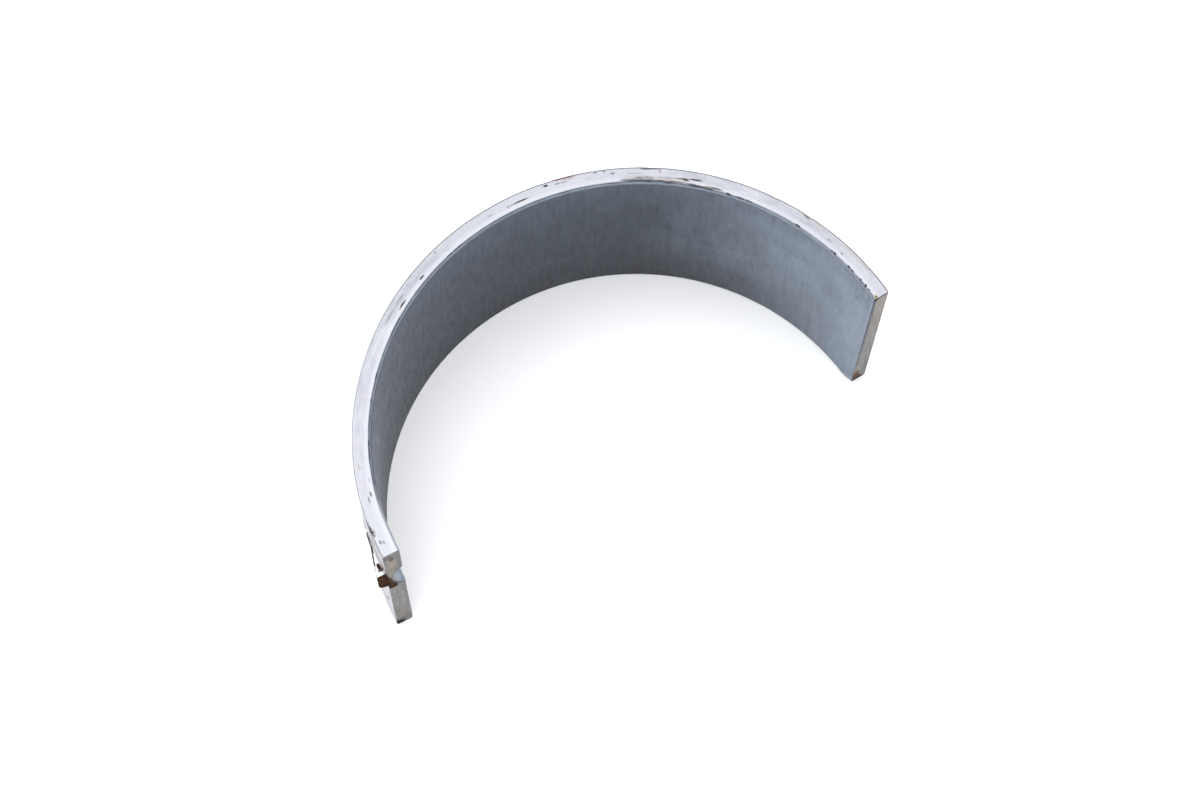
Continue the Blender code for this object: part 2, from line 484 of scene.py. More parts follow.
def shape_points(form):
    """Work out every point of the shell anew from its three distances."""
    layers = layers_of(form)
    along, across, height = (np.array([vert[layer] for vert in form.verts]) for layer in layers)
    at_plain_end = along > STRIP_LENGTH / 2

    def by_end(plain, lug):
        return np.where(at_plain_end, plain, lug)

    from_end = by_end(STRIP_LENGTH - along, along)
    full = np.clip(LUG_END_CHAMFER + (1 - LUG_END_CHAMFER) * along / PRESS_REACH, 0, 1)
    rub = BACK_RUB * np.clip(1 - along / BACK_RUB_REACH, 0, 1)
    corner_wear = np.clip(1 - from_end / PLAIN_CORNER_REACH, 0, 1) * at_plain_end
    upper_size = BORE_CHAMFER * full + bite_of(along, INNER_KNOCKS)
    upper_size = upper_size + INNER_RAGGEDNESS * ragged(along, 1.5, 2.2)
    lower_size = BORE_CHAMFER * full + PLAIN_CORNER_WEAR * corner_wear
    outer_size = BACK_EDGE_BREAK + bite_of(along, OUTER_KNOCKS)
    outer_size = outer_size + OUTER_RAGGEDNESS * ragged(along, 4.5, 3.1) + rub
    across, from_top = cut_back(across, WIDTH - height, upper_size)
    across, height = cut_back(across, WIDTH - from_top, lower_size)
    from_back, from_top = cut_back(WALL - across, WIDTH - height, outer_size)
    across, height = WALL - from_back, WIDTH - from_top
    for vert, *places in zip(form.verts, across, height):
        vert[layers[1]], vert[layers[2]] = places

    corner_round = by_end(PLAIN_CORNER_ROUND, LUG_CORNER_ROUND)
    from_end, from_floor = round_corner(from_end, height, corner_round)
    bore_wear = by_end(PLAIN_END_WEAR, LUG_END_WEAR)
    worn_across, from_end = cut_back(across, from_end, bore_wear)
    back_wear = by_end(PLAIN_BACK_WEAR, LUG_END_WEAR)
    from_back, from_end = cut_back(WALL - worn_across, from_end, back_wear)
    worn_across = WALL - from_back
    worn_along = by_end(STRIP_LENGTH - from_end, from_end)

    sink, stand = recess_sink(along, height), lug_stand(along, height)
    out = np.where(stand > LUG_STARTS, stand, -rub)
    part = worn_across / WALL
    radius = BORE_RADIUS + worn_across + sink * (1 - part) + out * part ** 2
    angle = LUG_END_ANGLE - worn_along / GAUGE_RADIUS
    right, forward = radius * np.cos(angle), radius * np.sin(angle) - GAUGE_RADIUS
    for vert, place in zip(form.verts, np.stack([right, forward, from_floor], axis=1) * MM):
        vert.co = place
    merged_below = FINE_ROW * MM / 50
    bmesh.ops.remove_doubles(form, verts=form.verts, dist=merged_below)
    bmesh.ops.dissolve_degenerate(form, edges=form.edges, dist=merged_below)


TALL_EDGE, TALL_CUTS = 0.35, 5       # edges of the sheared faces longer than this many mm
SAME_COLUMN, SAME_ROW = 0.2, 0.3     # mm; how far apart the two ends of such an edge were


def divide_tall_faces(form):
    """Give the sheared faces of the lug rows of their own, for the rust crust on them."""
    along, across, height = layers_of(form)
    tall = [
        edge for edge in form.edges
        if edge.calc_length() > TALL_EDGE * MM and edge.verts[0][along] < PRESS_REACH
        and min(edge.verts[0][across], edge.verts[1][across]) > WALL - NEAR
        and PRESS_LOWEST < edge.verts[0][height] < PRESS_HIGHEST
        and abs(edge.verts[0][along] - edge.verts[1][along]) < SAME_COLUMN
        and abs(edge.verts[0][height] - edge.verts[1][height]) < SAME_ROW
    ]
    bmesh.ops.subdivide_edges(form, edges=tall, cuts=TALL_CUTS, use_grid_fill=True)
    return len(tall)


form = bmesh.new()
form.from_mesh(shell.data)
print("divided edges beside the lug:", divide_press_zone(form))
print("divided edges at knocks:", divide_at_knocks(form))
shape_points(form)
print("divided tall faces of the lug:", divide_tall_faces(form))
bmesh.ops.recalc_face_normals(form, faces=form.faces)
print("edges that don't join two faces:", sum(not edge.is_manifold for edge in form.edges))
print("solid volume in cubic mm:", round(form.calc_volume(signed=True) / MM ** 3, 1))
form.to_mesh(shell.data)
form.free()
triangles = sum(len(face.vertices) - 2 for face in shell.data.polygons)
print("pressed shell:", len(shell.data.vertices), "points,", triangles, "triangles")

# %% [markdown]
# ## Finishes
# Each surface was made in its own way, so each has its own finish: the side faces are turned
# bright, the lining is dull and grey, the back is plain steel, and the two parting faces are
# broached. A finish reads the stored distances in millimetres, so its grain follows the bend. An
# image would have to be wrapped round the half ring, and would blur where one looks closely.

# %% Helpers for finishes
STEEL_GLOSS, RUST_GLOSS = 0.5, 0.05  # bare steel keeps its shine, rust and dirt have hardly any


def colour(red, green, blue):
    """A colour given as a screen shows it, from 0 to 255, for a socket that wants linear light."""
    linear = [
        share / 12.92 if share <= 0.04045 else ((share + 0.055) / 1.055) ** 2.4
        for share in (red / 255, green / 255, blue / 255)
    ]
    return (*linear, 1.0)


def new_finish(name, gloss=STEEL_GLOSS):
    material = bpy.data.materials.new(name)
    material.use_nodes = True
    tree = material.node_tree
    shader = tree.nodes["Principled BSDF"]
    shader.inputs["Specular IOR Level"].default_value = gloss
    return material, tree, shader


def stored(tree, name):
    node = add_node("ShaderNodeAttribute", (), tree, attribute_type="GEOMETRY", attribute_name=name)
    return node.outputs["Fac"]


def grain(coordinates, scale=1.0, detail=4.0, roughness=0.6):
    inputs = {"Vector": coordinates, "Scale": scale, "Detail": detail, "Roughness": roughness}
    return add_node("ShaderNodeTexNoise", inputs).outputs["Fac"]


def strip_grain(tree, stretches, *how):
    """Noise on the strip's three distances, drawn out along each whose stretch is under one."""
    places = [times(stored(tree, name), by) for name, by in zip(DISTANCES, stretches)]
    return grain(point(*places), *how)


def wandering(distance, texture, amount):
    """A distance that noise moves to and fro by half an amount."""
    return plus(distance, times(minus(texture, 0.5), amount))


def fades(*ramps):
    """Several values, each rescaled, multiplied together."""
    return times(*[rescale(*ramp) for ramp in ramps])


def blend_colours(share, under, over):
    inputs = {"Factor": share, 6: under, 7: over}
    return add_node("ShaderNodeMix", inputs, data_type="RGBA").outputs[2]


def lay_coats(base, *coats):
    """Lay coats over a colour. Each is a value, where the coat starts and where it is at its
    full share, that share, and the coat's colour."""
    for value, start, end, share, coat in coats:
        base = blend_colours(rescale(value, start, end, 0.0, share), base, coat)
    return base


def bump(height, strength, distance_mm):
    inputs = {"Strength": strength, "Distance": distance_mm * MM, "Height": height}
    return add_node("ShaderNodeBump", inputs).outputs["Normal"]


def join_shader(shader, base, metallic, roughness, normal):
    values = {"Base Color": base, "Metallic": metallic, "Roughness": roughness, "Normal": normal}
    for name, value in values.items():
        feed(shader.inputs[name], value)


def object_place(tree):
    """The place in the frame in mm, for a crust that doesn't follow the bend."""
    place = add_node("ShaderNodeTexCoord", tree=tree).outputs["Object"]
    return vector_calc("SCALE", {0: place, "Scale": 1 / MM})[0]


def real_across(tree):
    """How far a point really is from the bore's radius, also out on the lug."""
    x, y, _ = add_node("ShaderNodeSeparateXYZ", {0: object_place(tree)}).outputs
    y = plus(y, GAUGE_RADIUS)
    squares = plus(times(x, x), times(y, y))
    return minus(calc("SQRT", squares), BORE_RADIUS)


# %% [markdown]
# ## Rust marks, stains and pits
# The shell carries some 180 small marks, and each is at its own place. Painting them by hand would
# need a picture, so each is a few numbers here instead: where it is, how long and how wide, and how
# strong. A finish turns them into ragged patches by bending the edge of each with noise.

# %% The marks on the upper side face
OCHRE, TAN, GREY, RUST, ORANGE, PIT = KINDS = ("ochre", "tan", "grey", "rust", "orange", "pit")
SIDE_MARKS = {
    # each mark's angle in degrees, radius in mm, length and width in mm, strength
    OCHRE: (
        (46.0, 38.96, 1.4, 0.3, 0.3), (2.15, 39.05, 0.9, 0.7, 0.5),
    ),
    TAN: (
        (159.0, 40.4, 0.9, 0.5, 0.3), (63.2, 39.25, 3.0, 0.8, 0.35), (60.4, 39.3, 4.0, 0.9, 0.4),
        (54.5, 39.3, 7.5, 0.7, 0.4), (32.4, 40.9, 1.2, 0.3, 0.55), (24.9, 40.8, 1.4, 0.4, 0.7),
        (21.8, 40.98, 1.3, 0.26, 0.7), (10.5, 40.7, 7.0, 0.5, 0.25), (23.0, 40.75, 4.0, 0.5, 0.3),
    ),
    GREY: (
        (171.6, 40.93, 1.5, 0.22, 0.85), (170.7, 40.95, 0.9, 0.22, 0.6),
        (175.3, 40.40, 0.6, 0.42, 0.9), (175.6, 39.93, 0.6, 0.36, 0.75),
        (166.2, 39.86, 1.1, 0.26, 0.9), (162.0, 39.22, 0.9, 0.2, 0.55),
        (165.3, 41.12, 1.3, 0.22, 0.7), (138.8, 38.78, 2.2, 0.18, 0.6),
        (125.4, 40.18, 3.4, 0.34, 0.45), (121.4, 40.2, 2.6, 0.4, 0.4),
        (115.4, 39.95, 1.2, 0.5, 0.25), (115.8, 41.0, 0.9, 0.24, 0.55),
        (117.6, 40.5, 0.6, 0.3, 0.4), (108.5, 40.53, 0.5, 0.3, 0.75), (106.0, 39.5, 0.9, 0.2, 0.3),
        (94.5, 39.9, 0.8, 0.5, 0.3), (90.3, 39.74, 0.5, 0.34, 0.65), (78.6, 40.32, 0.9, 0.24, 0.9),
        (77.2, 40.24, 1.2, 0.2, 0.8), (72.0, 40.0, 1.6, 0.2, 0.3), (70.5, 40.74, 0.6, 0.34, 0.65),
        (68.6, 40.76, 0.5, 0.4, 0.7), (66.9, 40.30, 0.6, 0.42, 0.75), (62.2, 40.1, 2.4, 0.18, 0.5),
        (57.0, 40.5, 0.5, 0.5, 0.45), (59.8, 39.5, 0.8, 0.5, 0.5), (63.2, 39.02, 3.4, 0.5, 0.8),
        (60.6, 39.02, 3.6, 0.5, 0.8), (61.4, 39.3, 1.6, 0.5, 0.7), (58.9, 39.36, 0.8, 0.4, 0.6),
        (57.6, 39.0, 3.4, 0.36, 0.7), (52.0, 38.98, 2.4, 0.3, 0.7), (50.3, 39.82, 0.8, 0.2, 0.6),
        (56.0, 39.5, 3.0, 0.14, 0.55), (39.2, 38.84, 1.6, 0.26, 0.85),
        (37.3, 38.84, 1.8, 0.22, 0.8), (35.0, 38.8, 1.4, 0.16, 0.6), (41.0, 40.15, 4.5, 0.14, 0.3),
        (35.3, 39.5, 0.3, 0.3, 0.4), (24.5, 40.6, 0.7, 0.3, 0.5), (18.1, 39.9, 0.5, 0.4, 0.45),
        (14.0, 39.54, 0.5, 0.34, 0.75), (24.6, 40.75, 1.0, 0.2, 0.6), (4.0, 38.9, 0.4, 0.3, 0.5),
    ),
    RUST: (
        (172.7, 40.84, 1.3, 0.3, 1.0), (121.9, 39.44, 2.0, 0.26, 1.0),
        (88.9, 39.74, 1.8, 0.16, 0.55), (76.4, 40.6, 2.0, 0.4, 0.22),
        (63.2, 38.96, 2.2, 0.24, 0.7), (61.4, 38.96, 2.4, 0.26, 0.75),
        (58.0, 38.94, 2.6, 0.26, 0.75), (54.6, 39.02, 3.2, 0.26, 0.75),
        (52.4, 39.64, 1.8, 0.24, 0.95), (51.4, 39.48, 1.0, 0.34, 0.7),
        (49.6, 39.76, 1.6, 0.28, 0.9), (48.2, 38.92, 3.0, 0.3, 0.65),
        (45.2, 39.08, 3.0, 0.34, 0.75), (4.2, 38.92, 0.45, 0.34, 0.6), (1.9, 39.1, 0.4, 0.4, 1.0),
    ),
    ORANGE: (
        (77.0, 40.9, 3.6, 0.24, 0.85),
    ),
    PIT: (
        (173.3, 40.76, 0.9, 0.2, 0.9), (165.0, 39.43, 0.95, 0.28, 0.75),
        (156.6, 38.84, 2.8, 0.14, 0.75), (149.4, 38.80, 2.6, 0.12, 0.6),
        (144.4, 38.80, 0.8, 0.22, 0.9), (121.7, 39.42, 1.1, 0.18, 0.55),
        (114.5, 39.48, 1.0, 0.3, 0.95), (87.3, 39.75, 2.8, 0.24, 0.95),
        (81.1, 40.55, 0.7, 0.38, 1.0), (60.0, 40.8, 1.6, 0.22, 0.85),
        (58.2, 40.85, 1.8, 0.2, 0.75), (60.2, 38.92, 1.8, 0.24, 0.45),
        (56.4, 38.88, 1.8, 0.2, 0.5), (53.6, 38.94, 1.8, 0.2, 0.45), (51.5, 39.66, 1.3, 0.34, 0.6),
        (49.0, 39.79, 1.7, 0.32, 0.75), (49.9, 38.96, 1.5, 0.3, 0.7), (47.6, 38.86, 1.8, 0.2, 0.6),
        (44.6, 39.12, 1.8, 0.2, 0.5), (41.9, 38.82, 0.7, 0.34, 0.9), (25.2, 38.86, 0.8, 0.3, 0.95),
        (16.0, 38.9, 0.5, 0.22, 0.8), (15.2, 38.86, 0.8, 0.34, 0.95), (10.9, 38.9, 0.5, 0.3, 0.85),
        (9.7, 38.84, 0.8, 0.26, 0.8), (7.2, 38.86, 0.5, 0.26, 0.7), (6.5, 38.82, 0.5, 0.2, 0.6),
        (5.35, 38.9, 0.5, 0.36, 0.95), (25.1, 40.95, 0.9, 0.3, 0.5),
    ),
}


def side_spot(degrees, radius, length, width):
    """The centre and the half sizes of a mark, in mm along, across and up the strip."""
    return (along_at(degrees), radius - BORE_RADIUS, 0.0), (length / 2, width / 2, 1.0)


# %% Turn marks into masks
MARK_CORE = 0.7                      # share of a mark's size that is at full strength
SOFT_CORE = 0.2
MARK_EDGE = 1.15                     # times its size, where a mark has faded out


def patch_mask(place, spots, core=MARK_CORE):
    """One mask for many spots: each is its centre, its half sizes and its strength, in mm."""
    mask = 0.0
    for centre, half_sizes, strength in spots:
        scales = [1 / half for half in half_sizes]
        shifts = [-at / half for at, half in zip(centre, half_sizes)]
        scaled = vector_calc("MULTIPLY_ADD", {0: place, 1: scales, 2: shifts})[0]
        away = vector_calc("LENGTH", {0: scaled})["Value"]
        mask = strongest(mask, rescale(away, MARK_EDGE, core, 0.0, strength))
    return mask


def marks_mask(place, marks, spot_of, core=MARK_CORE):
    return patch_mask(place, [(*spot_of(*mark[:-1]), mark[-1]) for mark in marks], core)


def masks_of_kinds(place, marks, spot_of, core=MARK_CORE):
    return {
        kind: marks_mask(place, marks.get(kind, ()), spot_of, core) for kind in KINDS
    }


def ragged_place(values, amounts, scale):
    """Three distances that noise has bent, so that the edge of a patch is torn."""
    plain = point(*values)
    torn = []
    for value, amount, shift in zip(values, amounts, (3.0, 11.0, 23.0)):
        if amount:
            moved = vector_calc("ADD", {0: plain, 1: (shift, shift, shift)})[0]
            value = wandering(value, grain(moved, scale, 3.0), amount)
        torn.append(value)
    return point(*torn)


# %% Paint the marks
RUST_BROWN = colour(62, 36, 13)
RUST_DARK = colour(23, 11, 4)
RUST_ORANGE = colour(104, 60, 20)
PIT_DARK = colour(38, 30, 31)
STAIN_TAN = colour(133, 123, 113)
STAIN_GREY = colour(85, 84, 90)
STAIN_OCHRE = colour(156, 133, 74)


def paint_marks(base, masks, speckle):
    """Lay the stains over a colour, then the rust, then the pits."""
    rust = lay_coats(RUST_BROWN, (speckle, 0.35, 0.65, 1.0, RUST_DARK))
    paints = (STAIN_OCHRE, STAIN_TAN, STAIN_GREY, rust, RUST_ORANGE, PIT_DARK)
    for kind, paint in zip(KINDS, paints):
        base = blend_colours(masks[kind], base, paint)
    return base


# %% [markdown]
# ## The turned side faces
# The side faces are cut on a lathe and left bright, so fine lines run round them. They are almost
# white under soft light, with a painted highlight along the inner edge, stretches of painted sheen,
# a dull blue-grey line beside the chamfer and a thin dark line at the outer edge that is strongest
# towards the plain end. The rust marks lie on top and are rough and not metallic, which is what
# tells rust from a dark stain on steel.

# %% Finish of the side faces
BRIGHT_STEEL = colour(181, 182, 188)
CLOUDY_STEEL = colour(149, 152, 160)
WARM_STEEL = colour(176, 169, 171)
LINE_STEEL = colour(113, 118, 126)
SHEEN_STRETCHES = (
    # centre, half length in mm and strength of the stretches painted brighter with a painted sheen
    ((3.0, 0.0, 0.0), (16.0, 1.0, 1.0), 0.9),
    ((66.0, 0.0, 0.0), (20.0, 1.0, 1.0), 0.8),
    ((120.0, 0.0, 0.0), (10.0, 1.0, 1.0), 0.5),
)


def side_face_finish():
    material, tree, shader = new_finish("turned_side_face", RUST_GLOSS)
    along, across = stored(tree, "along"), stored(tree, "across")
    lines = strip_grain(tree, (0.05, 9.0, 0.0))
    clouds = strip_grain(tree, (0.22, 0.9, 0.0), 1.0, 3.0, 0.55)
    scuffs = strip_grain(tree, (1.4, 4.0, 0.0), 1.4, 4.0, 0.7)
    fine = strip_grain(tree, (2.2, 4.5, 0.0), 1.8, 3.0, 0.8)
    grit = strip_grain(tree, (2.4, 4.0, 1.0), 2.4, 3.0, 0.8)
    blush = strip_grain(tree, (0.5, 1.3, 2.0), 1.2, 3.0)
    painted_sheen = patch_mask(point(along, 0.0, 0.0), SHEEN_STRETCHES, core=0.3)
    dull = fades((clouds, 0.36, 0.68, 0.0, 0.9), (painted_sheen, 0.0, 1.0, 1.0, 0.0))
    base = lay_coats(
        blend_colours(dull, BRIGHT_STEEL, CLOUDY_STEEL),
        (lines, 0.50, 0.8, 0.45, LINE_STEEL),
        (scuffs, 0.50, 0.75, 0.4, LINE_STEEL),
        (fine, 0.44, 0.68, 0.75, CLOUDY_STEEL),
        (grit, 0.54, 0.7, 0.45, LINE_STEEL),
        (blush, 0.5, 0.7, 0.6, WARM_STEEL),
    )

    edge = wandering(across, scuffs, 0.2)
    # The first coat is a painted highlight, a bright band beside the inner edge; the second is a dull
    # blue-grey line at the chamfer's edge, and the third a dark line along the outer edge, stronger
    # towards the plain end.
    for coat, *ramps in (
        (BRIGHT_STEEL, (edge, BORE_CHAMFER + 0.95, BORE_CHAMFER + 0.35, 0.0, 0.7, "SMOOTHSTEP")),
        (LINE_STEEL, (edge, BORE_CHAMFER + 0.18, BORE_CHAMFER + 0.04, 0.0, 0.85, "SMOOTHSTEP"),
         (along, 4.0, PRESS_REACH, 0.0, 1.0)),
        (STAIN_GREY, (edge, WALL - 0.34, WALL - 0.22, 0.0, 1.0, "SMOOTHSTEP"),
         (along, 30.0, 55.0, 0.12, 0.75)),
    ):
        base = blend_colours(fades(*ramps), base, coat)

    torn = ragged_place((along, across, 0.0), (0.5, 0.22, 0.0), 2.2)
    masks = masks_of_kinds(torn, SIDE_MARKS, side_spot)
    streaks = rescale(strip_grain(tree, (0.8, 12.0, 0.0), 1.0, 3.0), 0.36, 0.56, 0.35, 1.1)
    for kind in (TAN, GREY, RUST):
        masks[kind] = times(masks[kind], streaks)
    base = paint_marks(base, masks, strip_grain(tree, (1.0, 1.0, 0.0), 6.0, 2.0))

    crust = strongest(masks[RUST], masks[PIT])
    dirt = strongest(crust, times(masks[TAN], 0.7))
    relief = plus(times(lines, 0.5), times(clouds, 0.3))
    join_shader(
        shader, base,
        metallic=rescale(dirt, 0.0, 0.8, 0.85, 0.05),
        roughness=plus(rescale(lines, 0.3, 0.7, 0.34, 0.48), times(dirt, 0.4)),
        normal=bump(minus(relief, times(crust, 1.4)), 0.35, 0.03),
    )
    return material


# %% [markdown]
# ## The lining
# The bore is faced with a soft bearing metal, which looks like slate: dull blue-grey, with faint
# streaks across the strip from rolling, cloudy patches where oil has dried, and a few dark specks
# of dirt pressed into it. Painted light makes it lighter towards both ends, most at the plain end,
# with a painted sheen high up and painted shade low down. The side with the lug has kept a cooler
# blue.

# %% Finish of the lining
LINING_SLATE = colour(51, 60, 71)
LINING_GRIME_AND_SHADE = colour(43, 43, 47)
LINING_OIL = colour(47, 45, 42)
LINING_COOL = colour(34, 48, 70)
LINING_LIT_AND_WORN = colour(125, 136, 151)
LINING_PAINTED_SHEEN = colour(84, 94, 110)
LINING_MARKS = {
    # each mark's angle in degrees, height in mm, its width and height in mm, strength
    TAN: (
        (7.0, 22.0, 3.0, 16.0, 0.15), (27.5, 21.0, 6.0, 7.0, 0.2), (40.0, 12.0, 6.0, 12.0, 0.15),
        (27.0, 27.5, 20.0, 6.0, 0.32), (52.0, 13.0, 2.6, 14.0, 0.12),
        (147.0, 21.5, 2.0, 5.0, 0.25),
    ),
    GREY: (
        (62.0, 23.2, 7.0, 6.0, 0.3), (13.0, 21.4, 7.0, 8.0, 0.25), (16.0, 13.0, 12.0, 9.0, 0.2),
        (37.0, 6.0, 7.0, 7.0, 0.25), (14.0, 9.0, 14.0, 8.0, 0.12), (5.0, 29.0, 4.0, 4.0, 0.2),
    ),
    RUST: (
        (1.5, 3.6, 0.6, 5.0, 0.5), (1.5, 16.0, 0.6, 20.0, 0.2),
    ),
    PIT: (
        (135.8, 27.5, 0.5, 1.4, 0.5), (129.5, 23.2, 0.7, 1.8, 0.5), (123.5, 25.3, 0.5, 1.3, 0.4),
        (116.0, 22.5, 0.5, 1.3, 0.4), (103.5, 21.2, 0.8, 0.9, 0.4), (91.2, 26.4, 0.8, 0.9, 0.4),
        (73.5, 18.9, 0.8, 0.9, 0.35), (93.0, 6.3, 0.9, 1.6, 0.35), (6.2, 27.4, 0.9, 1.6, 0.4),
        (40.0, 1.4, 1.6, 0.8, 0.5), (120.0, 30.6, 1.4, 0.5, 0.4), (46.0, 30.8, 1.6, 0.4, 0.4),
        (108.5, 17.5, 0.4, 2.6, 0.25), (57.0, 23.8, 0.7, 0.8, 0.35), (149.0, 9.0, 0.8, 1.4, 0.4),
    ),
}


def lining_spot(degrees, up, wide, tall):
    return (along_at(degrees), 0.0, up), (wide / 2, 1.0, tall / 2)


def lining_finish():
    material, tree, shader = new_finish("lining_slate")
    along, height = stored(tree, "along"), stored(tree, "height")
    rolled = strip_grain(tree, (0.7, 0.0, 0.07), 1.0, 5.0)
    clouds = strip_grain(tree, (0.10, 0.0, 0.13))
    fine = strip_grain(tree, (1.3, 0.0, 0.26), 1.0, 5.0, 0.7)
    mottle = strip_grain(tree, (0.55, 0.0, 0.13))
    specks = strip_grain(tree, (1.0, 0.0, 0.8), 1.7, 2.0, 0.5)

    # Painted light: the lining is painted lighter towards the plain end, and a little towards the lug
    # end.
    painted_end_light = rescale(along, STRIP_LENGTH * 0.67, STRIP_LENGTH * 0.96, 0.0, 1.0)
    painted_lug_end_light = rescale(
        along, STRIP_LENGTH * 0.36, STRIP_LENGTH * 0.04, 0.0, 0.14, "SMOOTHSTEP")
    painted_end_light = plus(strongest(painted_end_light, painted_lug_end_light), rescale(clouds, 0.3, 0.7, -0.1, 0.1))
    cool = fades((along, 45.0, 75.0, 0.35, 0.0), (height, 2.0, 12.0, 1.5, 1.0))
    # A painted sheen lightens the upper part of the bore, and painted shade darkens it low down, less
    # towards the lighter ends.
    upper = fades((height, 22.0, 31.5, 0.0, 0.45), (clouds, 0.7, 0.4, 0.35, 1.0))
    painted_low_shade = fades((height, 15.0, 0.0, 0.0, 0.85), (clouds, 0.35, 0.6, 0.5, 1.0),
                  (painted_end_light, 0.2, 1.0, 1.0, 0.25))
    oil = strip_grain(tree, (0.28, 0.0, 0.36), 1.0, 4.0, 0.65)
    oil = fades((oil, 0.46, 0.68, 0.0, 0.5), (height, 27.0, 16.0, 0.15, 1.0),
                (painted_end_light, 0.1, 0.6, 1.0, 0.2), (along, 25.0, 60.0, 0.35, 1.0))
    base = LINING_SLATE
    for share, paint in ((cool, LINING_COOL), (painted_end_light, LINING_LIT_AND_WORN), (upper, LINING_PAINTED_SHEEN),
                         (painted_low_shade, LINING_GRIME_AND_SHADE)):
        base = blend_colours(share, base, paint)
    base = lay_coats(
        base,
        (rolled, 0.45, 0.8, 0.22, LINING_GRIME_AND_SHADE),
        (rolled, 0.45, 0.2, 0.08, LINING_LIT_AND_WORN),
    )
    base = blend_colours(oil, base, LINING_OIL)
    faint = rescale(painted_end_light, 0.1, 0.8, 1.0, 0.45)
    for texture, most in ((fine, 0.2), (mottle, 0.22)):
        share = times(rescale(texture, 0.44, 0.72, 0.0, most), faint)
        base = blend_colours(share, base, LINING_GRIME_AND_SHADE)

    torn = ragged_place((along, 0.0, height), (1.4, 0.0, 1.4), 0.9)
    for kind, core, paint in (
        (GREY, SOFT_CORE, LINING_GRIME_AND_SHADE), (TAN, SOFT_CORE, LINING_LIT_AND_WORN),
        (PIT, MARK_CORE, PIT_DARK), (RUST, SOFT_CORE, RUST_BROWN),
    ):
        mask = marks_mask(torn, LINING_MARKS[kind], lining_spot, core)
        base = blend_colours(mask, base, paint)
    base = lay_coats(base, (specks, 0.68, 0.75, 0.7, PIT_DARK))
    join_shader(
        shader, base, metallic=0.55,
        roughness=rescale(fine, 0.3, 0.7, 0.42, 0.58),
        normal=bump(plus(times(rolled, 0.5), times(fine, 0.4)), 0.3, 0.03),
    )
    return material


# %% [markdown]
# ## The recess and the bore chamfers
# The punch's nose has burnished the recess, so it is lighter and smoother than the lining, with a
# rough rim at the parting face, and painted shade darkens its deep end beside the parting face. The
# chamfers are turned after bending. Their edges catch dirt, so a dark line runs along each, and every
# knock in the upper one has broken through to dark metal.

# %% Finish of the recess and of the chamfers
RECESS_LIGHT = colour(140, 153, 165)
RECESS_DARK_AND_SHADE = colour(99, 108, 115)
PARTING_BEIGE = colour(121, 118, 113)
CHAMFER_BLUE = colour(135, 142, 153)
CHAMFER_DARK = colour(92, 99, 110)
CHAMFER_LINE = colour(61, 67, 77)


def recess_finish():
    material, tree, shader = new_finish("pressed_recess")
    along = stored(tree, "along")
    smear = strip_grain(tree, (0.5, 0.0, 1.6))
    # The second coat is painted shade: the recess is painted darker over its last 0.7 mm, at its deep
    # end beside the parting face.
    base = lay_coats(RECESS_LIGHT, (smear, 0.35, 0.7, 0.7, RECESS_DARK_AND_SHADE),
                     (along, 0.7, 0.0, 0.55, RECESS_DARK_AND_SHADE))
    rim = fades((real_across(tree), 0.9, 1.5, 0.0, 0.9), (along, 1.6, 0.5, 0.0, 1.0))
    base = blend_colours(rim, base, PARTING_BEIGE)
    join_shader(
        shader, base, metallic=0.7, roughness=rescale(smear, 0.3, 0.7, 0.3, 0.45),
        normal=bump(smear, 0.3, 0.03),
    )
    return material


def knock_spot(degrees, bite, length):
    """A knock as a spot on the chamfer; the deeper it is, the darker it shows."""
    centre = (along_at(degrees), BORE_CHAMFER + 0.08 + bite, 0.0)
    return centre, (length / 2, 0.16 + bite, 1.0), min(1.0, 0.3 + 4 * bite)


def chamfer_finish():
    material, tree, shader = new_finish("bore_chamfer")
    along, across, height = (stored(tree, name) for name in DISTANCES)
    turned = strip_grain(tree, (0.6, 9.0, 9.0), 1.0, 4.0, 0.65)
    base = lay_coats(CHAMFER_BLUE, (turned, 0.35, 0.7, 0.9, CHAMFER_DARK))
    edge = wandering(across, turned, 0.2)
    upper_line = rescale(edge, BORE_CHAMFER - 0.14, BORE_CHAMFER - 0.04, 0.0, 0.9)
    lower_line = rescale(edge, 0.16, 0.04, 0.0, 0.8)
    lines = strongest(upper_line, lower_line)
    lines = times(lines, rescale(along, 92.0, 112.0, 1.0, 0.25))
    base = blend_colours(lines, base, CHAMFER_LINE)
    base = lay_coats(base, (along, PRESS_REACH, 4.0, 0.8, BRIGHT_STEEL))
    place = ragged_place((along, across, 0.0), (0.4, 0.12, 0.0), 2.2)
    knocks = patch_mask(place, [knock_spot(*knock) for knock in INNER_KNOCKS])
    upper = rescale(height, WIDTH / 2, WIDTH / 2 + 1, 0.0, 1.0)
    base = blend_colours(times(knocks, upper), base, PIT_DARK)
    join_shader(
        shader, base, metallic=0.8, roughness=rescale(turned, 0.3, 0.7, 0.35, 0.5),
        normal=bump(turned, 0.3, 0.02),
    )
    return material
